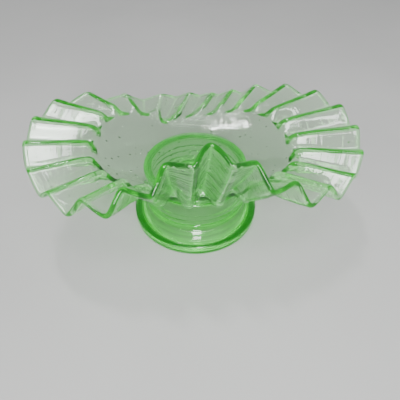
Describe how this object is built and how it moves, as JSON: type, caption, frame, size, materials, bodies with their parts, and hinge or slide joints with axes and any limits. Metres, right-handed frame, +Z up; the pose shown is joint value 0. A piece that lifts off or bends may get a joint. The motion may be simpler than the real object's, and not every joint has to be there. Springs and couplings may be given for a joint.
{
  "type": "footed glass dish",
  "caption": "Boat-shaped dish in green uranium glass: a smooth oval bowl with a deep crimped brim, drawn up at the front, on a low hollow pedestal foot.",
  "frame": {"origin": "centre of the foot, on the surface that the dish stands on", "axes": "+X along the long way of the boat, -Y towards the side that is drawn up highest, +Z up"},
  "size_m": [0.1785, 0.111, 0.082],
  "materials": {
    "bowl_glass": "fire-polished, with faint chill marks",
    "merese_glass": "fire-polished",
    "foot_glass": "pressed and fire-polished"
  },
  "bodies": {
    "root": {"crimped_bowl": "bowl_glass", "merese": "merese_glass", "foot": "foot_glass"}
  },
  "joints": []
}
